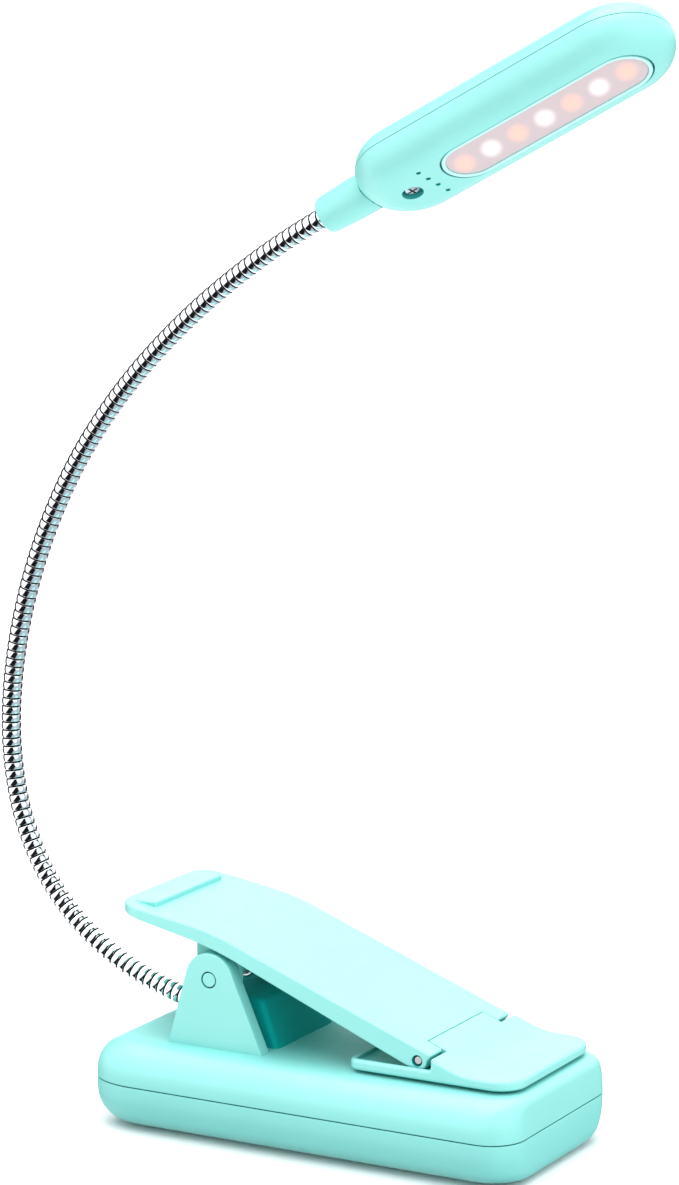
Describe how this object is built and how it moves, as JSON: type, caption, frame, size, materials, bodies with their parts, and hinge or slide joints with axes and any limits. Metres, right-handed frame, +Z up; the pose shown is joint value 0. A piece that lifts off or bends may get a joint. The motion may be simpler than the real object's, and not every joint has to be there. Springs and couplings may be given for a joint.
{
  "type": "clip on reading lamp",
  "caption": "Clip-on LED reading lamp: mint plastic base with a sprung clip on top, chrome gooseneck and a pill-shaped head with a frosted light window.",
  "frame": {"origin": "on the base's underside, on its centre line, 1.15 mm behind its middle, on the table", "axes": "+Z up, +X from the neck end of the base towards the jaw end, +Y across the base"},
  "size_m": [0.182, 0.0584, 0.276],
  "materials": {
    "mint_plastic": "satin moulded",
    "grip_rubber": "matt",
    "steel": "bright",
    "neck_chrome": "polished",
    "circuit_board": "solder mask",
    "battery_wrap": "shrink wrap",
    "frosted_plastic": "frosted",
    "led_warm": "clear over phosphor",
    "led_white": "clear over phosphor",
    "black_plastic": "moulded"
  },
  "bodies": {
    "base": {"base_lower_shell": "mint_plastic", "base_upper_shell": "mint_plastic", "battery_cell": "battery_wrap", "charge_board": "circuit_board", "usb_port": "steel", "base_screw_1": "steel", "base_screw_2": "steel", "base_screw_3": "steel", "base_screw_4": "steel", "base_grip_pad": "grip_rubber", "neck_anchor": "steel", "lever_pivot_pin": "mint_plastic", "lever_spring": "steel", "neck_link_01": "neck_chrome"},
    "lever": {"clip_lever": "mint_plastic", "jaw_pin": "steel"},
    "jaw": {"clip_jaw": "mint_plastic", "jaw_grip_pad": "grip_rubber"},
    "neck_02": {"neck_link_02": "neck_chrome"},
    "neck_03": {"neck_link_03": "neck_chrome"},
    "neck_04": {"neck_link_04": "neck_chrome"},
    "neck_05": {"neck_link_05": "neck_chrome"},
    "neck_06": {"neck_link_06": "neck_chrome"},
    "neck_07": {"neck_link_07": "neck_chrome"},
    "neck_08": {"neck_link_08": "neck_chrome"},
    "neck_09": {"neck_link_09": "neck_chrome"},
    "neck_10": {"neck_link_10": "neck_chrome"},
    "neck_11": {"neck_link_11": "neck_chrome"},
    "neck_12": {"neck_link_12": "neck_chrome"},
    "neck_13": {"neck_link_13": "neck_chrome"},
    "head": {"head_collar": "mint_plastic", "head_upper_shell": "mint_plastic", "head_lower_shell": "mint_plastic", "diffuser_window": "frosted_plastic", "indicator_light_guide": "frosted_plastic", "led_board": "circuit_board", "led_1": "led_warm", "led_2": "led_white", "led_3": "led_warm", "led_4": "led_white", "led_5": "led_warm", "led_6": "led_white", "led_7": "led_warm", "head_screw": "steel", "mode_switch": "black_plastic"},
    "mode_button": {"mode_button": "mint_plastic"}
  },
  "joints": [
    {"name": "lever_pivot", "type": "hinge", "parent": "base", "child": "lever", "pos_m": [-0.026, 0, 0.0393], "axis": [0, -1, 0], "range_deg": [0, 19], "stiffness_Nm_per_rad": 0.5, "springref_deg": -29.79, "deforming": ["lever_spring"]},
    {"name": "jaw_tilt", "type": "hinge", "parent": "lever", "child": "jaw", "pos_m": [0.0313, 0, 0.0272], "axis": [0, -1, 0], "range_deg": [-19, 0]},
    {"name": "neck_lower_bend", "type": "hinge", "parent": "base", "child": "neck_02", "pos_m": [-0.056, 0, 0.03075], "axis": [0, 1, 0], "range_deg": [-10, 10]},
    {"name": "neck_side_bend", "type": "hinge", "parent": "neck_02", "child": "neck_03", "pos_m": [-0.07397, 0, 0.04064], "axis": [-0.617, 0, -0.7869], "range_deg": [-8, 8]},
    {"name": "neck_lower_bend_03", "type": "hinge", "parent": "neck_03", "child": "neck_04", "pos_m": [-0.08744, 0, 0.05606], "axis": [0, 1, 0], "range_deg": [-10, 10]},
    {"name": "neck_side_bend_04", "type": "hinge", "parent": "neck_04", "child": "neck_05", "pos_m": [-0.09467, 0, 0.07525], "axis": [-0.982, 0, -0.1891], "range_deg": [-8, 8]},
    {"name": "neck_lower_bend_05", "type": "hinge", "parent": "neck_05", "child": "neck_06", "pos_m": [-0.09607, 0, 0.09575], "axis": [0, 1, 0], "range_deg": [-10, 10]},
    {"name": "neck_side_bend_06", "type": "hinge", "parent": "neck_06", "child": "neck_07", "pos_m": [-0.09326, 0, 0.11613], "axis": [-0.9759, 0, 0.2181], "range_deg": [-8, 8]},
    {"name": "neck_upper_bend", "type": "hinge", "parent": "neck_07", "child": "neck_08", "pos_m": [-0.08738, 0, 0.13586], "axis": [0, 1, 0], "range_deg": [-16, 16]},
    {"name": "neck_side_bend_08", "type": "hinge", "parent": "neck_08", "child": "neck_09", "pos_m": [-0.07881, 0, 0.15457], "axis": [-0.878, 0, 0.4787], "range_deg": [-8, 8]},
    {"name": "neck_upper_bend_09", "type": "hinge", "parent": "neck_09", "child": "neck_10", "pos_m": [-0.06765, 0, 0.17186], "axis": [0, 1, 0], "range_deg": [-16, 16]},
    {"name": "neck_side_bend_10", "type": "hinge", "parent": "neck_10", "child": "neck_11", "pos_m": [-0.05418, 0, 0.18743], "axis": [-0.712, 0, 0.7022], "range_deg": [-8, 8]},
    {"name": "neck_upper_bend_11", "type": "hinge", "parent": "neck_11", "child": "neck_12", "pos_m": [-0.03898, 0, 0.20132], "axis": [0, 1, 0], "range_deg": [-16, 16]},
    {"name": "neck_side_bend_12", "type": "hinge", "parent": "neck_12", "child": "neck_13", "pos_m": [-0.02246, 0, 0.21361], "axis": [-0.5577, 0, 0.83], "range_deg": [-8, 8]},
    {"name": "head_twist", "type": "hinge", "parent": "neck_13", "child": "head", "pos_m": [-0.00483, 0, 0.22426], "axis": [0.8796, 0, 0.4756], "range_deg": [-50, 50]},
    {"name": "mode_button_press", "type": "slide", "parent": "head", "child": "mode_button", "axis": [0.4257, -0.4462, -0.7872], "range_m": [0, 0.0008], "stiffness_N_per_m": 600, "springref_m": -0.001}
  ],
  "couplings": [
    {"joint": "jaw_tilt", "follows": "lever_pivot", "ratio": -1},
    {"joint": "neck_lower_bend_03", "follows": "neck_lower_bend", "ratio": 1},
    {"joint": "neck_side_bend_04", "follows": "neck_side_bend", "ratio": 1},
    {"joint": "neck_lower_bend_05", "follows": "neck_lower_bend", "ratio": 1},
    {"joint": "neck_side_bend_06", "follows": "neck_side_bend", "ratio": 1},
    {"joint": "neck_side_bend_08", "follows": "neck_side_bend", "ratio": 1},
    {"joint": "neck_upper_bend_09", "follows": "neck_upper_bend", "ratio": 1},
    {"joint": "neck_side_bend_10", "follows": "neck_side_bend", "ratio": 1},
    {"joint": "neck_upper_bend_11", "follows": "neck_upper_bend", "ratio": 1},
    {"joint": "neck_side_bend_12", "follows": "neck_side_bend", "ratio": 1}
  ]
}
